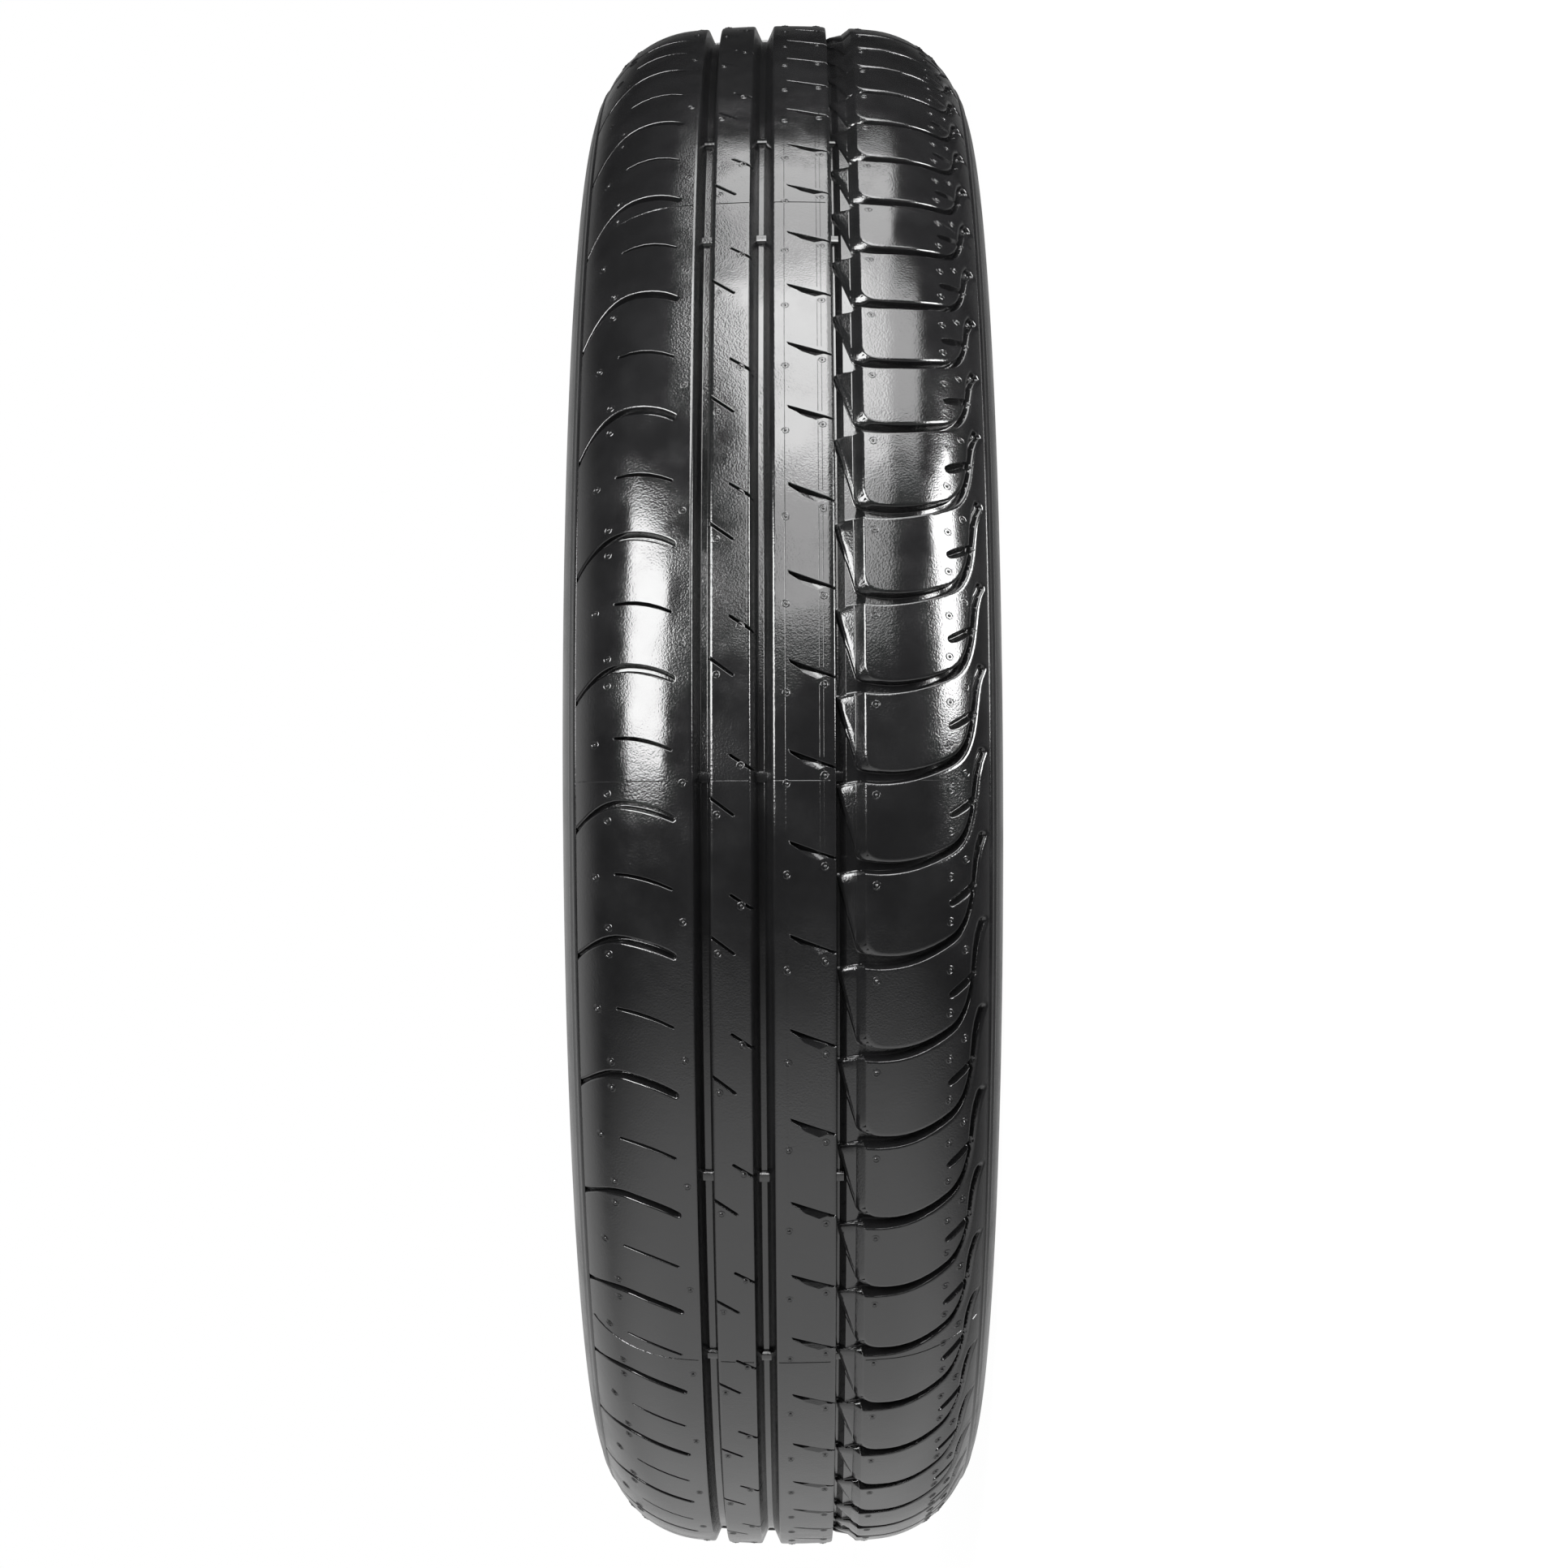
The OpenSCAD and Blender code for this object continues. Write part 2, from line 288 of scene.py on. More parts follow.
def flatTile(name, span, lowV, highV, cuts, creases):
    # Meshes one pitch of a strip of tread: x across, y from 0 to 1 up the pitch, z out
    m = meshing
    lowU, highU = span
    vs = np.linspace(lowV, highV, max(2, int(round((highV - lowV) / m["cell"])) + 1))
    us = np.linspace(lowU, highU, int(round((highU - lowU) / m["cell"])) + 1)
    verts, index, edges = [], {}, []

    def add(p):
        key = (round(float(p[0]), 3), round(float(p[1]), 3))
        if key not in index:
            index[key] = len(verts)
            verts.append(key)
        return index[key]

    def chain(line):
        ids = [add(p) for p in line]
        edges.extend((a, b) for a, b in zip(ids[:-1], ids[1:]) if a != b)

    for cut in cuts:
        if cut.ownRings is not None:
            for ring in cut.ownRings:
                ring = ring[(ring[:, 0] >= lowV) & (ring[:, 0] <= highV)]
                if len(ring) > 2:
                    chain(list(ring) + [ring[0]])
            continue
        for level in cut.levels:
            for line, closed in outlineRings(cut.inside, level, vs, us):
                chain(thinned(line, closed, m["straight"], m["longest"]))

    # Points across the open ground, closer together where the shoulder is round
    steps = [lowV]
    while steps[-1] < highV - 1e-6:
        onShoulder = abs(steps[-1]) > m["roundFrom"]
        steps.append(min(highV, steps[-1] + m["shoulderStep" if onShoulder else "crownStep"]))
    levels = np.linspace(lowU, highU, int(round((highU - lowU) / m["fill"])) + 1)
    loose = np.array([(v, u) for v in steps[1:-1] for u in levels[1:-1]])
    if len(loose):
        clear = np.ones(len(loose), bool)
        for cut in cuts:
            d = cut.inside(loose)
            clear &= (d < min(cut.levels) - m["clearBefore"]) | (d > max(cut.levels) + m["clearInside"])
        for p in loose[clear]:
            add(p)
    steps += [v for v in creases if lowV < v < highV]
    # The two ends of a pitch have the same points, so that neighbours meet
    ends = {round(v, 3) for v in steps}
    for u in (lowU, highU):
        ends |= {k[0] for k in verts if abs(k[1] - u) < m["touching"]}
    ends = sorted(ends)
    apart = [v for i, v in enumerate(ends) if i == 0 or v - ends[i - 1] > m["closest"]]
    for u in (lowU, highU):
        chain([(v, round(u, 3)) for v in apart])
    for v in creases:
        if lowV < v < highV:
            chain([(v, round(u, 3)) for u in np.linspace(lowU, highU, m["creasePoints"])])
    for v in (lowV, highV):
        onEdge = {k[1] for k in verts if abs(k[0] - v) < m["touching"]}
        chain([(v, u) for u in sorted(onEdge | {round(u, 3) for u in levels})])

    flat, _, faces, *_ = delaunay_2d_cdt([Vector(v) for v in verts], edges, [], 0, 1e-4, False)
    p = np.array([(v.x, v.y) for v in flat])
    h = np.zeros(len(p))
    lean = np.zeros((len(p), 2))
    for cut in cuts:
        own = cut.height(p)
        deeper = own < h - 1e-6
        h = np.where(deeper, own, h)
        g = slopeOf(cut.height, p)
        size = np.linalg.norm(g, axis=1, keepdims=True)
        g *= np.minimum(1, m["steepest"] / np.maximum(size, 1e-6))
        lean[deeper] = g[deeper]
    length = highU - lowU
    mesh = bpy.data.meshes.new(name)
    mesh.from_pydata([(v * mm, (u - lowU) / length, z * mm) for (v, u), z in zip(p, h)], [], faces)
    leans = np.column_stack([lean[:, 0], lean[:, 1] * length * mm, np.zeros(len(p))])
    mesh.attributes.new("lean", "FLOAT_VECTOR", "POINT").data.foreach_set("vector", leans.ravel())
    tile = bpy.data.objects.new(name, mesh)
    print(name, len(p), "points", len(faces), "faces")
    return tile


# One class for the maths of shaders and of Geometry Nodes
class Value:
    def __init__(self, tree, socket):
        self.tree, self.socket = tree, socket

    def node(self, kind, settings=None, values=None):
        made = self.tree.nodes.new(kind)
        for key, setting in (settings or {}).items():
            if key == "stops":
                ramp = made.color_ramp.elements
                while len(ramp) < len(setting):
                    ramp.new(0.5)
                for element, (place, shade) in zip(ramp, setting):
                    element.position, element.color = place, (shade, shade, shade, 1)
            else:
                setattr(made, key, setting)
        for key, value in (values or {}).items():
            if isinstance(value, Value):
                self.tree.links.new(value.socket, made.inputs[key])
            else:
                made.inputs[key].default_value = value
        return made

    def out(self, kind, settings=None, values=None, output=0):
        return Value(self.tree, self.node(kind, settings, values).outputs[output])

    def maths(self, operation, *others):
        values = {0: self}
        values.update({k + 1: other for k, other in enumerate(others)})
        return self.out("ShaderNodeMath", {"operation": operation}, values)

    def __add__(self, other):
        return self.maths("ADD", other)

    def __radd__(self, other):
        return self.maths("ADD", other)

    def __mul__(self, other):
        return self.maths("MULTIPLY", other)

    def __sub__(self, other):
        return self.maths("SUBTRACT", other)

    def __rsub__(self, other):
        return (self * -1.0).maths("ADD", other)

    def __truediv__(self, other):
        return self.maths("DIVIDE", other)

    def __gt__(self, other):
        return self.maths("GREATER_THAN", other)

    def __lt__(self, other):
        return self.maths("LESS_THAN", other)

    def mixed(self, a, b):
        # a where this is 0, b where it is 1
        return a + self * (b - a)

    def parts(self):
        split = self.node("ShaderNodeSeparateXYZ", values={0: self})
        return [Value(self.tree, socket) for socket in split.outputs]

    def vector(self, x, y, z):
        return self.out("ShaderNodeCombineXYZ", values={0: x, 1: y, 2: z})


# Rubber: glossy where the mould touched it, with the mould's fine grain
finish = {
    "colour": (0.0075, 0.0075, 0.0078),
    "paler": 1.35,                                   # how much paler it is where it is blotched
    "roughness": 0.165, "roughnessSpread": 0.04,
    "wallRoughness": 0.225, "linerRoughness": 0.5,
    "specular": 0.9,
    "grainSize": 1400.0, "grainDepth": 0.0001,       # the orange peel of the mould
    "blotchSize": 45.0, "blotchEdge": (0.35, 0.65),  # where the release agent has dried
    "knurlPitch": 0.85, "knurlDepth": 0.00012,       # degrees between the fine ribs of the sidewall
}


def rubberMaterial(name, roughness, grain=1.0, knurled=False):
    material = bpy.data.materials.new(name)
    material.use_nodes = True
    tree = material.node_tree
    shader = tree.nodes["Principled BSDF"]
    kit = Value(tree, None)
    place = kit.out("ShaderNodeTexCoord", output=3)
    blotch = kit.out("ShaderNodeTexNoise", {"noise_dimensions": "3D"},
                     {"Vector": place, "Scale": finish["blotchSize"], "Detail": 3.0, "Roughness": 0.6})
    start, stop = finish["blotchEdge"]
    patch = blotch.out("ShaderNodeValToRGB", {"stops": [(start, 0.0), (stop, 1.0)]}, {0: blotch})
    spread = finish["roughnessSpread"]
    tree.links.new(patch.mixed(roughness - spread, roughness + spread).socket, shader.inputs["Roughness"])
    colour = finish["colour"]
    shade = kit.out("ShaderNodeMix", {"data_type": "RGBA"},
                    {0: patch, 6: (*colour, 1), 7: (*[c * finish["paler"] for c in colour], 1)}, 2)
    tree.links.new(shade.socket, shader.inputs["Base Color"])
    shader.inputs["Specular IOR Level"].default_value = finish["specular"]
    peel = kit.out("ShaderNodeTexNoise", {"noise_dimensions": "3D"},
                   {"Vector": place, "Scale": finish["grainSize"], "Detail": 1.5, "Roughness": 0.5})
    bump = kit.out("ShaderNodeBump", values={"Strength": grain, "Distance": finish["grainDepth"],
                                             "Height": peel * (patch * 0.8 + 0.2)})
    if knurled:
        x, y, z = place.parts()
        turn = x.maths("ARCTAN2", y) * (360 / tau / finish["knurlPitch"])
        reach = (x * x + y * y).maths("SQRT") * (1 / mm)
        ribs = turn.maths("FRACT").maths("PINGPONG", 0.5) * 2.0
        band = (reach > tyre["knurlFrom"]) * (reach < tyre["knurlTo"])
        bump = kit.out("ShaderNodeBump", values={"Strength": 1.0, "Distance": finish["knurlDepth"],
                                                 "Height": ribs * band, "Normal": bump})
    tree.links.new(bump.socket, shader.inputs["Normal"])
    return material


treadRubber = rubberMaterial("tread rubber", finish["roughness"])
wallRubber = rubberMaterial("sidewall rubber", finish["wallRoughness"], knurled=True)
linerRubber = rubberMaterial("liner rubber", finish["linerRoughness"], grain=2.0)
print("materials")


def wrapTree(tile):
    # Repeats a flat tile along its pitches and wraps the row round the tyre
    tree = bpy.data.node_groups.new("wrap " + tile.name, "GeometryNodeTree")
    face = tree.interface
    face.new_socket("Geometry", in_out="INPUT", socket_type="NodeSocketGeometry")
    for name in ("Radius", "Crown radius", "Crown half width", "Shoulder radius"):
        face.new_socket(name, in_out="INPUT", socket_type="NodeSocketFloat")
    face.new_socket("Tile", in_out="INPUT", socket_type="NodeSocketObject")
    face.new_socket("Material", in_out="INPUT", socket_type="NodeSocketMaterial")
    face.new_socket("Geometry", in_out="OUTPUT", socket_type="NodeSocketGeometry")
    start, end = tree.nodes.new("NodeGroupInput"), tree.nodes.new("NodeGroupOutput")
    link = tree.links.new
    kit = Value(tree, None)

    def field(name, kind="FLOAT"):
        return kit.out("GeometryNodeInputNamedAttribute", {"data_type": kind}, {"Name": name})

    inputs = {socket.name: Value(tree, socket) for socket in start.outputs}
    source = kit.node("GeometryNodeObjectInfo", values={"Object": inputs["Tile"]})
    span = field("span")
    copies = kit.out("GeometryNodeInstanceOnPoints", values={
        "Points": inputs["Geometry"], "Instance": Value(tree, source.outputs["Geometry"]),
        "Scale": kit.vector(1.0, span, 1.0)})
    real = kit.out("GeometryNodeRealizeInstances", values={0: copies})

    radius, crown, half, shoulder = (inputs[name] for name in (
        "Radius", "Crown radius", "Crown half width", "Shoulder radius"))
    v, turn, h = kit.out("GeometryNodeInputPosition").parts()
    away, sign = v.maths("ABSOLUTE"), v.maths("SIGN")
    onShoulder = away > half
    sinHalf = half / crown
    cosHalf = (1.0 - sinHalf * sinHalf).maths("SQRT")
    sinTilt = sign * onShoulder.mixed(away / crown, (away - half) / shoulder + sinHalf)
    cosTilt = (1.0 - sinTilt * sinTilt).maths("SQRT")
    drop = onShoulder.mixed(crown * (1.0 - cosTilt),
                            crown * (1.0 - cosHalf) + shoulder * (cosHalf - cosTilt))
    reach = radius - drop + h * cosTilt
    sinTurn, cosTurn = turn.maths("SINE"), turn.maths("COSINE")
    placed = kit.vector(reach * sinTurn, reach * cosTurn * -1.0, (v + h * sinTilt) * -1.0)

    leanV, leanU, _ = field("lean", "FLOAT_VECTOR").parts()
    leanU = leanU / (span * radius)
    outward = cosTilt + leanV * sinTilt
    normal = kit.vector(outward * sinTurn - leanU * cosTurn, outward * cosTurn * -1.0 - leanU * sinTurn,
                        (sinTilt - leanV * cosTilt) * -1.0)
    kept = kit.out("GeometryNodeStoreNamedAttribute", {"data_type": "FLOAT_VECTOR", "domain": "POINT"},
                   {"Geometry": real, "Name": "outward", "Value": normal})
    moved = kit.out("GeometryNodeSetPosition", values={"Geometry": kept, "Position": placed})
    joined = kit.out("GeometryNodeMergeByDistance", values={"Geometry": moved, "Distance": 0.00001})
    painted = kit.out("GeometryNodeSetMaterial", values={
        "Geometry": joined, "Material": inputs["Material"]})
    link(painted.socket, end.inputs[0])
    return tree


def wrapped(name, tile, row, material):
    # Bakes one wrapped row into a plain mesh, with the tread's true normals
    spans, starts = row
    anchors = bpy.data.meshes.new(name + " anchors")
    anchors.from_pydata([(0, start, 0) for start in starts], [], [])
    anchors.attributes.new("span", "FLOAT", "POINT").data.foreach_set("value", spans)
    holder = bpy.data.objects.new(name + " row", anchors)
    bpy.context.scene.collection.objects.link(holder)
    modifier = holder.modifiers.new("Wrap", "NODES")
    modifier.node_group = wrapTree(tile)
    values = {"Radius": tyre["radius"] * mm, "Crown radius": tyre["crownRadius"] * mm,
              "Crown half width": tyre["crownHalf"] * mm, "Shoulder radius": tyre["shoulderRadius"] * mm,
              "Tile": tile, "Material": material}
    for item in modifier.node_group.interface.items_tree:
        if item.in_out == "INPUT" and item.name in values:
            modifier[item.identifier] = values[item.name]
    holder.update_tag()
    made = holder.evaluated_get(bpy.context.evaluated_depsgraph_get())
    mesh = bpy.data.meshes.new_from_object(made)
    bpy.data.objects.remove(holder)
    normals = np.empty(len(mesh.vertices) * 3)
    mesh.attributes["outward"].data.foreach_get("vector", normals)
    normals = normals.reshape(-1, 3)
    normals /= np.linalg.norm(normals, axis=1)[:, None]
    for attribute in ("outward", "lean", "span"):
        if attribute in mesh.attributes:
            mesh.attributes.remove(mesh.attributes[attribute])
    mesh.polygons.foreach_set("use_smooth", [True] * len(mesh.polygons))
    mesh.normals_split_custom_set_from_vertices(normals)
    return finished(name, mesh)


def plain(name, verts, faces, material, sharp=math.radians(40)):
    mesh = bpy.data.meshes.new(name)
    mesh.from_pydata([tuple(v) for v in verts], [], faces)
    mesh.materials.append(material)
    mesh.polygons.foreach_set("use_smooth", [True] * len(faces))
    mesh.set_sharp_from_angle(angle=sharp)
    return finished(name, mesh)


def finished(name, mesh):
    piece = bpy.data.objects.new(name, mesh)
    mesh.name = name
    bpy.context.scene.collection.objects.link(piece)
    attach(piece, "root")
    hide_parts("tyre")
    print(name, sum(len(face.vertices) - 2 for face in mesh.polygons), "triangles")
    return piece


# Grooves of the tread. v runs from the curved grooves' side to the lateral grooves' side.
# A window is the u at which a family's drawn pitch begins, and an order names the lengths
# of its pitches, short, middle or long, one after another round the tyre
grooves = {
    "left": (-32.5, -26.3), "middle": (-11.5, -3.5), "right": (19.4, 22.6),
    "leftRuns": (2.0, 0.8), "middleRuns": (2.4, 2.6),       # how far the two walls lean
    "blockEdge": 29.7,
    "lateralPitch": {"S": 28.1, "M": 33.0, "L": 35.6}, "lateralNominal": 32.7,
    "lateralWindow": -6.0, "lateralStart": 389.8,
    "lateralOrder": "SSSSSSSSSLMMMMLLLLMMLLMM" "SSMLLSSSMMLLLSSSMLLMSSSMMLLSSMMLLSSSLMMLSMSLL",
    "curvedPitch": {"S": 47.5, "M": 51.0, "L": 54.5}, "curvedNominal": 51.0,
    "curvedWindow": -13.0, "curvedStart": 364.2,
    "curvedOrder": "LLLLMMMMLMSSSM" "LLMSSMLLLSSMMSSLLMMSSLLSMLSML",
    # lines across which the floor of a groove changes its slope
    "lateralCreases": (20.9, 21.1, 23.4, 23.6, 26.4, 26.6, 28.4), "curvedCreases": (),
    "split": -7.5,                                   # where the two families of tiles meet
}


def leaning(t, run, rim=1.0, wall=0.3):
    # Stretches a distance, so that a wall leans out over a run and its rim spreads
    return np.where(t < 0, t / rim, np.where(t < run, t * wall / run, wall + t - run))


def rib(lowV, highV, lowRun, highRun):
    # A groove that runs round the tyre, whose two walls may lean by different amounts
    return lambda p: np.minimum(leaning(p[:, 0] - lowV, lowRun), leaning(highV - p[:, 0], highRun))


def depthOf(*pairs):
    return lambda p: np.interp(p[:, 0], [a for a, _ in pairs], [b for _, b in pairs])


def roundGroove(name):
    return Cut(rib(*grooves[name], *grooves[name + "Runs"]), tyre["grooveDepth"], (1.3, 0.6))


def lateralCuts():
    g, p = grooves, grooves["lateralNominal"]
    left, edge, depth = g["right"][0], g["blockEdge"], tyre["grooveDepth"]
    groove = together(
        strip(curve((28, 1.2), (45, -2.5), (62, 6.2), 10), [4.8, 4.6, 4.0, 3.6, 3.2, 2.9]),
        strip(np.vstack([curve((62, 6.2), (69.2, 10.0), (70.5, 26), 10),
                         [(71.3, 34), (72.3, 39), (73.7, 43)]]),
              [2.9, 2.6, 2.2, 1.8, 1.5, 1.4, 1.4, 2.1, 2.7]))
    tooth = corners([(left, -3.3), (28.8, -1.3), (28.6, 1.0), (left + 0.7, p - 3.1), (left, p - 3.1)])
    deep = together(everyPitch(together(tooth, groove, soft=1.6), p), rib(left, left + 0.9, 0.3, 0.3))
    wearing = Cut(deep, depthOf((21, depth), (23.5, 5.0), (28, 5.0), (31, 5.8), (60, 6.0), (66, 4.6),
                                (70, 3.2), (73, 2.6), (77, 2.2)), (0.9, 0.5))

    def ledgeDepth(q):
        # The ledge slopes, and bends down where it ends
        bend = np.clip(deep(q) / 0.9 + 1, 0, 1)
        return np.interp(q[:, 0], [20, 26.5], [4.9, 3.3]) + 0.4 * bend

    def blockSide(q):
        # Above the lateral groove the corner of the block is round
        away = edge - q[:, 0]
        rounded = together(lambda r: edge - r[:, 0], groove, soft=6.0)(q)
        away = np.where(q[:, 1] > 0.5, rounded, away)
        return np.minimum(leaning(q[:, 0] - left, 0.3, 3.0), leaning(away, 2.6, 1.6))

    ledge = Cut(everyPitch(blockSide, p), ledgeDepth, (0.9, 0.7), foot=0.4)
    notch = sipe([(62.0, 19.4), (63.4, 20.1), (66.4, 21.9), (70.2, 24.6)], [2.5, 3.0, 3.0, 2.6], 2.6, 0.4)
    teardrop = Cut(together(corners([(2.4, 10.4), (2.9, 9.2), (6.5, 6.9), (15.6, 4.7), (15.6, 5.6)]),
                            strip([(12.5, 6.2), (20, 3.6)], [1.0, 1.0])), 4.5, (0.25, 0.25), 0.45, 0.1,
                   [-0.25, -0.08, 0.0, 0.22, 0.43, 0.7])
    facet = Facet([(5.2, 7.8), (7.6, 5.4), (13.0, 3.0), (16.6, 4.3), (15.8, 5.1)], 3, 0.5)
    return [wearing, ledge, notch], [wearing, ledge, teardrop, facet, roundGroove("middle")]


def curvedCuts():
    half = grooves["curvedNominal"] / 2
    path = np.vstack([curve((-40, -5), (-48, -0.8), (-58.5, 0), 8),
                      curve((-58.5, 0), (-68.5, 0.4), (-77.6, -12.4), 8)[1:]])
    curved = Cut(everyPitch(strip(path, [2.2, 2.6, 2.7, 2.7, 2.7, 2.6, 2.2, 1.5, 1.0, 1.2]), 2 * half),
                 depthOf((-78, 1.0), (-73, 1.6), (-66, 3.2), (-58, 4.4), (-40, 4.8)), (0.7, 0.5), foot=0.6)
    shoulder = sipe(curve((-61, half - 0.8), (-51, half - 0.6), (-40.4, half - 5.5), 5),
                    [0.9, 1.15, 0.9], 3.5)
    ribLeft = sipe([(-28.4, 4.1), (-17.9, -3.8)], [1.1, 1.0], 4)
    ribRight = sipe([(-18.8, half - 7.6), (-10.4, half - 13.2)], [1.0, 1.1], 4)
    return ([curved, shoulder, roundGroove("left")],
            [roundGroove("left"), roundGroove("middle"), ribLeft, ribRight])


def row(family):
    # Angles at which a family's pitches start, and how far each one reaches
    g = grooves
    lengths = np.array([g[family + "Pitch"][letter] for letter in g[family + "Order"]])
    lengths = np.roll(lengths, 1) * tau / lengths.sum()
    start = g[family + "Start"] / tyre["radius"]
    first = start + g[family + "Window"] / g[family + "Nominal"] * lengths[0]
    return lengths, first - np.concatenate([[0], np.cumsum(lengths[1:])])


blockCuts, centreCuts = lateralCuts()
shoulderCuts, narrowCuts = curvedCuts()
rows = {family: row(family) for family in ("lateral", "curved")}
ribs = {                                             # name, family, from, to, cuts
    "tread_blocks": ("lateral", 25.0, tyre["edgeHalf"], blockCuts),
    "tread_centre_rib": ("lateral", grooves["split"], 25.0, centreCuts),
    "tread_shoulder": ("curved", -tyre["edgeHalf"], -29.4, shoulderCuts),
    "tread_narrow_rib": ("curved", -29.4, grooves["split"], narrowCuts),
}
for name, (family, lowV, highV, cuts) in ribs.items():
    window = grooves[family + "Window"]
    tile = flatTile(name + " tile", (window, window + grooves[family + "Nominal"]), lowV, highV, cuts,
                    grooves[family + "Creases"])
    wrapped(name, tile, rows[family], treadRubber)


# Marks of the mould: vents with their nibs, seams, wear bars
marks = {
    "lateralVents": [(34.0, 26.6), (61.3, 12.7), (61.3, 28.3), (67.1, 1.7), (1.6, -1.9), (15.4, 1.1)],
    "curvedVents": [(-15.1, 14.0), (-23.7, -3.8), (-36.2, 7.8), (-64.0, 3.9), (-64.0, -6.3), (-68.8, 22.7)],
    "ventSection": [(0.0, 0.45), (0.35, 0.4), (0.75, -0.15)],
    "ringSection": [(1.0, -0.08), (1.35, 0.24), (1.7, -0.08)],
    "ventSides": 8, "ventSteepest": 6,
    "seams": 9, "seamTurn": 0.25, "seamHeight": 0.2, "seamWidth": 0.4,
    "seamHalf": 75.5, "seamStep": 0.8, "seamSunk": 0.03, "seamOver": 0.05,
    "barTurns": [0.5, 37.8, 48.5, 80.5, 120.5, 160.5, 200.5, 240.5, 280.5, 319.7, 334.8],
    "barLength": 4.5, "barHeight": 1.6, "barGap": 0.15, "barRows": 5,
    "barSection": [(-0.5, -0.5), (-0.46, 0.55), (-0.36, 0.92), (-0.2, 1.0), (0.2, 1.0), (0.36, 0.92),
                   (0.46, 0.55), (0.5, -0.5)],        # shares of its length and height
    "lines": (1.3, 13.7, 15.2), "lineHeight": 0.06, "lineWidth": 0.35, "lineSunk": 0.02, "lineSteps": 1080,
}


def ventTile(name, places, family):
    # A nib with a ring round it at each vent of one pitch
    window, nominal = grooves[family + "Window"], grooves[family + "Nominal"]
    sides, steepest = marks["ventSides"], marks["ventSteepest"]
    verts, faces, leans = [], [], []
    for v, u in places:
        for section in (marks["ventSection"], marks["ringSection"]):
            first = len(verts)
            slopes = np.gradient([h for _, h in section], [r for r, _ in section])
            for (reach, h), slope in zip(section, np.clip(slopes, -steepest, steepest)):
                for k in range(sides):
                    a = tau * k / sides
                    along = (u + reach * math.sin(a) - window) / nominal
                    verts.append(((v + reach * math.cos(a)) * mm, along, h * mm))
                    leans.append((slope * math.cos(a), slope * math.sin(a) * nominal * mm, 0))
            for ring in range(len(section) - 1):
                for k in range(sides):
                    a, b = first + ring * sides + k, first + ring * sides + (k + 1) % sides
                    faces.append((a, a + sides, b + sides, b))
    mesh = bpy.data.meshes.new(name)
    mesh.from_pydata(verts, [], faces)
    mesh.attributes.new("lean", "FLOAT_VECTOR", "POINT").data.foreach_set("vector", np.ravel(leans))
    return bpy.data.objects.new(name, mesh)


for family in ("lateral", "curved"):
    wrapped("vents_" + family, ventTile(family + " vents", marks[family + "Vents"], family),
            rows[family], treadRubber)


def onTyre(v, turn, h=0.0):
    # Where a point of the flat drawing comes to lie on the tyre, in metres
    away = abs(v)
    if away <= tyre["crownHalf"]:
        sinTilt = v / tyre["crownRadius"]
        drop = tyre["crownRadius"] * (1 - math.sqrt(1 - sinTilt ** 2))
    else:
        sinHalf = tyre["crownHalf"] / tyre["crownRadius"]
        size = (away - tyre["crownHalf"]) / tyre["shoulderRadius"] + sinHalf
        cosHalf, cosTilt = math.sqrt(1 - sinHalf ** 2), math.sqrt(1 - size ** 2)
        drop = tyre["crownRadius"] * (1 - cosHalf) + tyre["shoulderRadius"] * (cosHalf - cosTilt)
        sinTilt = math.copysign(size, v)
    reach = (tyre["radius"] - drop + h * math.sqrt(1 - sinTilt ** 2)) * mm
    return reach * math.sin(turn), -reach * math.cos(turn), -(v + h * sinTilt) * mm


def treadHeight(v, turn):
    # Height of the finished tread at one place
    family = "curved" if v < grooves["split"] else "lateral"
    spans, starts = rows[family]
    along = (turn - starts) % tau
    k = int(np.argmin(np.where(along <= spans, along, 10)))
    u = grooves[family + "Window"] + along[k] / spans[k] * grooves[family + "Nominal"]
    cuts = [cut for kind, lowV, highV, cuts in ribs.values()
            if kind == family and lowV <= v <= highV for cut in cuts]
    return min([0.0] + [float(cut.height(np.array([[v, u]]))[0]) for cut in cuts])


def seams():
    # A hair of rubber stands where the segments of the mould met
    verts, faces = [], []
    width, height, sunk = marks["seamWidth"] / 2 / tyre["radius"], marks["seamHeight"], marks["seamSunk"]
    reach, step = marks["seamHalf"], marks["seamStep"]
    for k in range(marks["seams"]):
        turn = math.radians(marks["seamTurn"]) + tau * k / marks["seams"]
        before = None
        for v in np.arange(-reach, reach + 0.1, step):
            if treadHeight(v, turn) < -marks["seamOver"]:
                before = None
                continue
            here = len(verts)
            verts += [onTyre(v, turn - width, -sunk), onTyre(v, turn, height), onTyre(v, turn + width, -sunk)]
            if before is not None:
                faces += [(before, before + 1, here + 1, here),
                          (before + 1, before + 2, here + 2, here + 1)]
            before = here
    plain("mould_seams", verts, faces, treadRubber, math.radians(80))


def mouldLines():
    # Hairlines run round the centre rib, where the mould's plates met
    verts, faces = [], []
    count, sunk = marks["lineSteps"], marks["lineSunk"]
    half, height = marks["lineWidth"] / 2, marks["lineHeight"]
    for v in marks["lines"]:
        before = None
        for k in range(count + 1):
            turn = tau * k / count
            if treadHeight(v, turn) < -sunk:
                before = None
                continue
            here = len(verts)
            verts += [onTyre(v - half, turn, -sunk), onTyre(v, turn, height), onTyre(v + half, turn, -sunk)]
            if before is not None:
                faces += [(here, here + 1, before + 1, before),
                          (here + 1, here + 2, before + 2, before + 1)]
            before = here
    plain("mould_lines", verts, faces, treadRubber, math.radians(80))


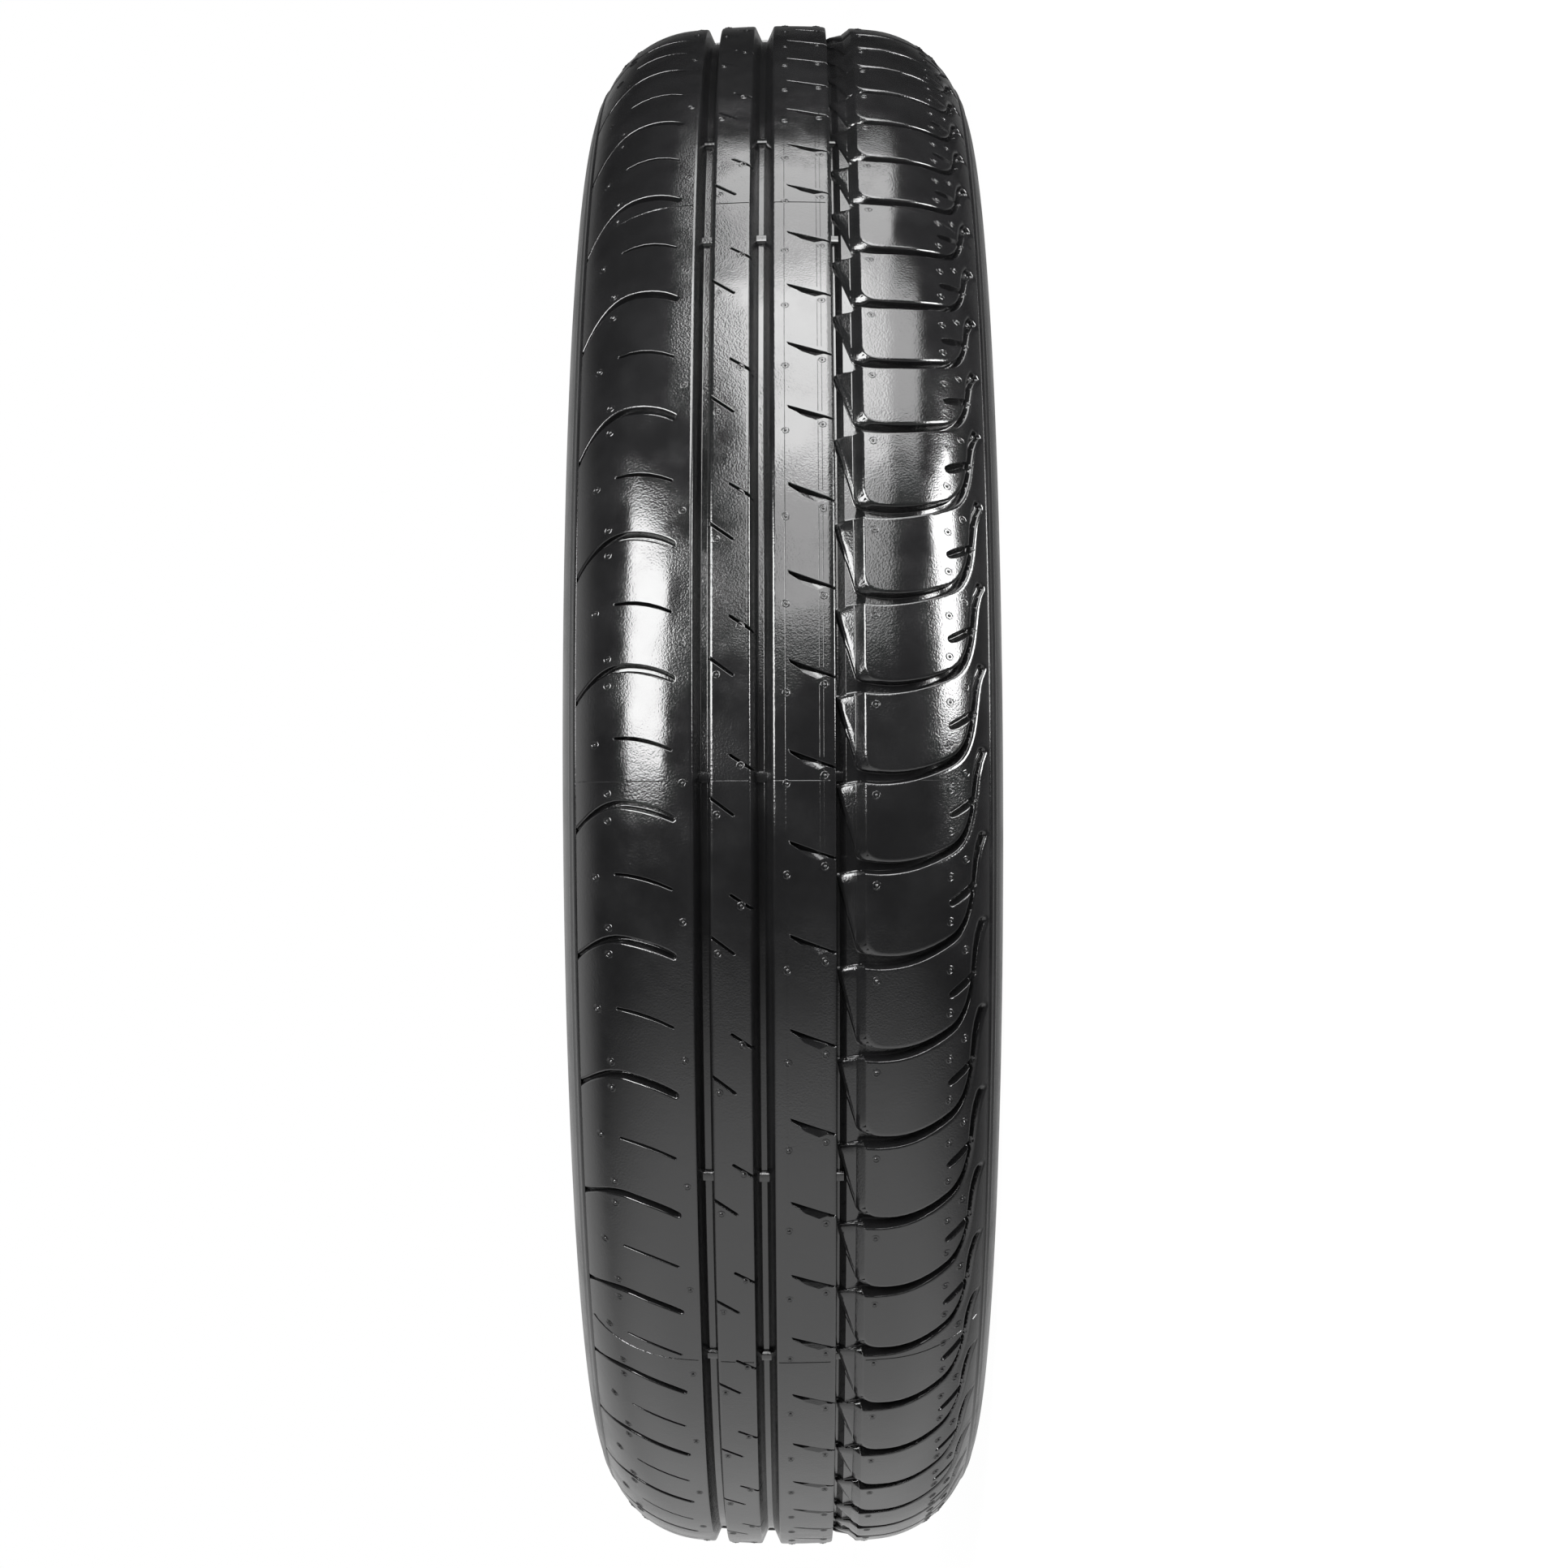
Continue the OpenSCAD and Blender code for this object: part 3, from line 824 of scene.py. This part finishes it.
def wearBars():
    # Low humps across the bottoms of the three round grooves
    verts, faces = [], []
    depth, height, gap = tyre["grooveDepth"], marks["barHeight"], marks["barGap"]
    section, count = marks["barSection"], marks["barRows"]
    for turn in np.radians(marks["barTurns"]):
        for name in ("left", "middle", "right"):
            lowV, highV = grooves[name]
            first = len(verts)
            for v in np.linspace(lowV + gap, highV - gap, count):
                verts += [onTyre(v, turn + s * marks["barLength"] / tyre["radius"], h * height - depth)
                          for s, h in section]
            n = len(section)
            for i in range(count - 1):
                faces += [(first + i * n + j, first + i * n + j + 1, first + (i + 1) * n + j + 1,
                           first + (i + 1) * n + j) for j in range(n - 1)]
    plain("wear_bars", verts, faces, treadRubber)


seams()
mouldLines()
wearBars()


# Casing: shoulders below the edge lines, sidewalls, beads and liner, turned on the axis
casing = {
    "steps": 360,
    "widest": 299.06, "flankRadius": 47.98, "flankTo": 24.0,  # the flank's arc, and how far in it goes
    "hidden": 3.0,                                   # how far the casing goes on under the tread
    # the line where the tread ends: distances below the edge, and heights
    "edgeStep": [(0.02, -0.02), (0.02, 0.12), (0.25, 0.35)],
    "edgeLine": [(0.7, 0.28), (1.3, 0.35), (2.0, 0.315), (2.5, 0.14), (2.7, 0.05), (3.2, 0.0)],
    # thin raised rings on the sidewall, their radius and height, and their section
    "rings": [(279.0, 0.35), (284.0, 0.35), (318.2, 0.3)],
    "ringPoints": (-0.75, -0.45, -0.3, 0.3, 0.45, 0.75), "ringClear": 0.9,
    "ringAway": [0.3, 0.46, 0.7], "ringShare": [1, 0.8, 0],
    "flankFrom": 4.4, "flankStep": 1.9,
    # the rib over the rim's flange, then the bead's face and heel, its seat and its toe
    "flangeRib": [(271.5, 74.6), (268, 72.3), (265.6, 70.6), (264.4, 69.9), (263.4, 69.8), (262.6, 69.5),
                  (261.9, 68.8), (261.2, 67.9)],
    "beadFace": [(259, 67.2), (256, 66.7), (252, 66.25), (248, 66), (246.2, 65.7), (244.6, 64.8),
                 (243.5, 63.5)],
    "beadSeat": [(243.02, 62), (243, 60), (243, 55), (243, 50.4)],
    "beadToe": [(243.2, 49.6), (243.6, 49.1), (244.2, 49.0)],
    # the air chamber: three curves with their counts of steps, then the middle
    "liner": [((250, 50), (261, 55), (270, 67.5), 8), ((279, 73.8), (291.7, 77.2), (303.7, 77.2), 8),
              ((317.7, 74.2), (329.8, 69.2), (331.3, 52), 10)],
    "linerCrown": [(335.4, 24), (336.4, 12)], "linerMiddle": (336.8, 0.0),
    "sharp": 50,                                     # degrees past which an edge isn't smoothed
}


def flankZ(reach):
    # The sidewall's arc, as a distance along the axis
    radius = casing["flankRadius"]
    return tyre["halfWidth"] - radius + math.sqrt(radius ** 2 - (reach - casing["widest"]) ** 2)


def edgeReach():
    _, y, _ = onTyre(tyre["edgeHalf"], 0)
    return -y / mm


def ringLift(reach):
    # How far the sidewall stands out at its thin rings
    c = casing
    return max([0.0] + [height * float(np.interp(abs(reach - ring), c["ringAway"], c["ringShare"]))
                        for ring, height in c["rings"]])


def sideProfile():
    # One half of the casing's section, from the tread's edge by the bead to the liner's crown
    c, edge, edgeR = casing, tyre["edgeHalf"], edgeReach()
    points = [(edgeR - c["hidden"], edge - 0.02)]
    points += [(edgeR - down, edge + out) for down, out in c["edgeStep"]]
    points += [(edgeR - down, flankZ(edgeR - down) + out) for down, out in c["edgeLine"]]
    last = c["widest"] - c["flankTo"]
    reaches = set(np.round(np.arange(edgeR - 4.5, last, -c["flankStep"]), 2))
    for ring, _ in c["rings"]:
        reaches = {r for r in reaches if abs(r - ring) > c["ringClear"]}
        reaches |= {ring + away for away in c["ringPoints"]}
    points += [(reach, flankZ(reach) + ringLift(reach)) for reach in sorted(reaches, reverse=True)
               if edgeR - c["flankFrom"] >= reach >= last]
    for part in ("flangeRib", "beadFace", "beadSeat", "beadToe"):
        points += c[part]
    for a, b, d, count in c["liner"]:
        points += [tuple(p) for p in curve(a, b, d, count)]
    return points + c["linerCrown"]


def lathe(profile, steps):
    # Turns a profile on the tyre's axis
    verts, faces = [], []
    for reach, z in profile:
        verts += [(reach * mm * math.cos(tau * k / steps), reach * mm * math.sin(tau * k / steps), z * mm)
                  for k in range(steps)]
    for ring in range(len(profile) - 1):
        for k in range(steps):
            a, b = ring * steps + k, ring * steps + (k + 1) % steps
            faces.append((a, b, b + steps, a + steps))
    return verts, faces


def turnedCasing():
    side, steps = sideProfile(), casing["steps"]
    loop = side + [casing["linerMiddle"]] + [(reach, -z) for reach, z in reversed(side)]
    verts, faces = lathe(loop, steps)
    mesh = bpy.data.meshes.new("casing")
    mesh.from_pydata(verts, [], faces)
    mesh.materials.append(wallRubber)
    mesh.materials.append(linerRubber)
    linerFrom = side.index(casing["liner"][0][0])
    ringOf = np.arange(len(faces)) // steps
    isLiner = (ringOf >= linerFrom) & (ringOf < len(loop) - 1 - linerFrom)
    mesh.polygons.foreach_set("material_index", isLiner.astype(int))
    mesh.polygons.foreach_set("use_smooth", [True] * len(faces))
    mesh.set_sharp_from_angle(angle=math.radians(casing["sharp"]))
    finished("casing", mesh)


turnedCasing()


# Floor, backdrop, lights and camera
stage = {
    "distance": 1.4525, "lens": 70.17, "sensor": 36.0,
    "turn": 0.226, "roll": -0.26,                    # degrees
    "acrossPixels": 2.0, "upPixels": 1.0, "pixels": 3766.0,  # shift in the photo, and its focal length
    "floorSize": 6.0, "floorGap": 0.0002, "floorPaint": 0.45, "shadow": 0.16, "floorGlow": 1.17,
    "ambient": 0.2, "dark": 0.01,
    "ground": 0.95, "groundFade": (0.28, 0.92),      # below the tyre, as reflections see the room
    "behind": 0.6, "behindFade": (0.0, 0.6), "behindLow": (-0.5, 0.0), "behindSide": (-1.1, 0.0),
}

floorMesh = bpy.data.meshes.new("floor")
half = stage["floorSize"] / 2
floorZ = -tyre["halfWidth"] * mm - stage["floorGap"]
floorMesh.from_pydata([(x * half, y * half, floorZ) for x, y in ((-1, -1), (1, -1), (1, 1), (-1, 1))],
                      [], [(0, 1, 2, 3)])
floor = bpy.data.objects.new("floor", floorMesh)
bpy.context.scene.collection.objects.link(floor)
floorPaint = bpy.data.materials.new("floor")
floorPaint.use_nodes = True
tree = floorPaint.node_tree
tree.nodes.remove(tree.nodes["Principled BSDF"])
kit = Value(tree, None)
path = kit.node("ShaderNodeLightPath")
looks = {name: Value(tree, path.outputs[name]) for name in ("Is Camera Ray", "Is Transmission Ray")}
seen = looks["Is Camera Ray"].maths("MAXIMUM", looks["Is Transmission Ray"])
paint = kit.out("ShaderNodeBsdfDiffuse", values={"Color": (*[stage["floorPaint"]] * 3, 1)})
glow = kit.out("ShaderNodeEmission", values={"Color": (1, 1, 1, 1), "Strength": stage["floorGlow"]})
both = kit.out("ShaderNodeMixShader", values={0: seen * (1 - stage["shadow"]), 1: paint, 2: glow})
tree.links.new(both.socket, tree.nodes["Material Output"].inputs[0])
floorMesh.materials.append(floorPaint)
floor.visible_shadow = False
floor.visible_glossy = False

world = bpy.data.worlds.new("studio")
bpy.context.scene.world = world
world.use_nodes = True
tree = world.node_tree
kit = Value(tree, None)
path = kit.node("ShaderNodeLightPath")
looks = {name: Value(tree, path.outputs[name])
         for name in ("Is Camera Ray", "Is Glossy Ray", "Is Transmission Ray")}
x, y, z = kit.out("ShaderNodeTexCoord").parts()


def fade(value, start, stop):
    return value.out("ShaderNodeMapRange", {"interpolation_type": "SMOOTHSTEP"},
                     {0: value, 1: start, 2: stop, 3: 0.0, 4: 1.0})


ground = fade(x * -1.0, *stage["groundFade"]) * stage["ground"]
behind = fade(y, *stage["behindFade"]) * fade(x * -1.0, *stage["behindLow"])
behind = behind * fade(z, *stage["behindSide"]) * stage["behind"]
studio = ground.maths("MAXIMUM", behind) + stage["dark"]
white = looks["Is Camera Ray"].maths("MAXIMUM", looks["Is Transmission Ray"])
strength = white.mixed(looks["Is Glossy Ray"].mixed(stage["ambient"], studio), 1.0)
tree.links.new(strength.socket, tree.nodes["Background"].inputs["Strength"])
tree.nodes["Background"].inputs["Color"].default_value = (1, 1, 1, 1)

# Side and height are degrees as the camera sees them, and lengths are metres
lamps = {
    "left": {"side": 42, "height": 20, "away": 1.0, "size": (0.66, 0.66), "radiance": 13.0, "shift": 0.0},
    "top": {"side": -11, "height": 66, "away": 1.1, "size": (0.35, 0.66), "radiance": 9.0, "shift": 0.03},
    "topLow": {"side": -6, "height": 37, "away": 1.1, "size": (0.36, 0.5), "radiance": 4.2, "shift": 0.0},
    "topRight": {"side": -11, "height": 67, "away": 1.1, "size": (0.5, 0.58), "radiance": 4.2, "shift": -0.4},
    "topBack": {"side": 0, "height": 95, "away": 1.1, "size": (0.4, 0.45), "radiance": 4.3, "shift": -0.07},
    "right": {"side": -76, "height": 22, "away": 0.9, "size": (0.34, 0.5), "radiance": 18.0, "shift": 0.0},
}
aim = Vector((0, -tyre["radius"] * mm, 0))
for name, lamp in lamps.items():
    data = bpy.data.lights.new(name, "AREA")
    data.shape = "RECTANGLE"
    data.size, data.size_y = lamp["size"]
    data.energy = lamp["radiance"] * math.pi * math.prod(lamp["size"])
    light = bpy.data.objects.new(name, data)
    bpy.context.scene.collection.objects.link(light)
    sideways, up = math.radians(lamp["side"]), math.radians(lamp["height"])
    way = Vector((math.sin(up), -math.cos(up) * math.cos(sideways), math.cos(up) * math.sin(sideways)))
    along = Vector((0, math.sin(sideways), math.cos(sideways)))
    tall = way.cross(along).normalized()
    spot = aim + way * lamp["away"] + along * lamp["shift"]
    light.matrix_world = Matrix.Translation(spot) @ Matrix((along, tall, way)).transposed().to_4x4()
    light.visible_camera = False

turn, roll = math.radians(stage["turn"]), math.radians(stage["roll"])
toCamera = Vector((0, -math.cos(turn), -math.sin(turn)))
right, up = Vector((0, math.sin(turn), -math.cos(turn))), Vector((1, 0, 0))
right, up = (right * math.cos(roll) + up * math.sin(roll), up * math.cos(roll) - right * math.sin(roll))
metres = stage["distance"] / stage["pixels"]
camera = bpy.data.objects.new("camera", bpy.data.cameras.new("camera"))
camera.data.sensor_width, camera.data.lens = stage["sensor"], stage["lens"]
place = toCamera * stage["distance"]
place += up * (stage["upPixels"] * metres) - right * (stage["acrossPixels"] * metres)
camera.matrix_world = Matrix.Translation(place) @ Matrix((right, up, toCamera)).transposed().to_4x4()
bpy.context.scene.collection.objects.link(camera)
bpy.context.scene.camera = camera
bpy.context.scene.view_settings.view_transform = "Standard"

print("scene ready")
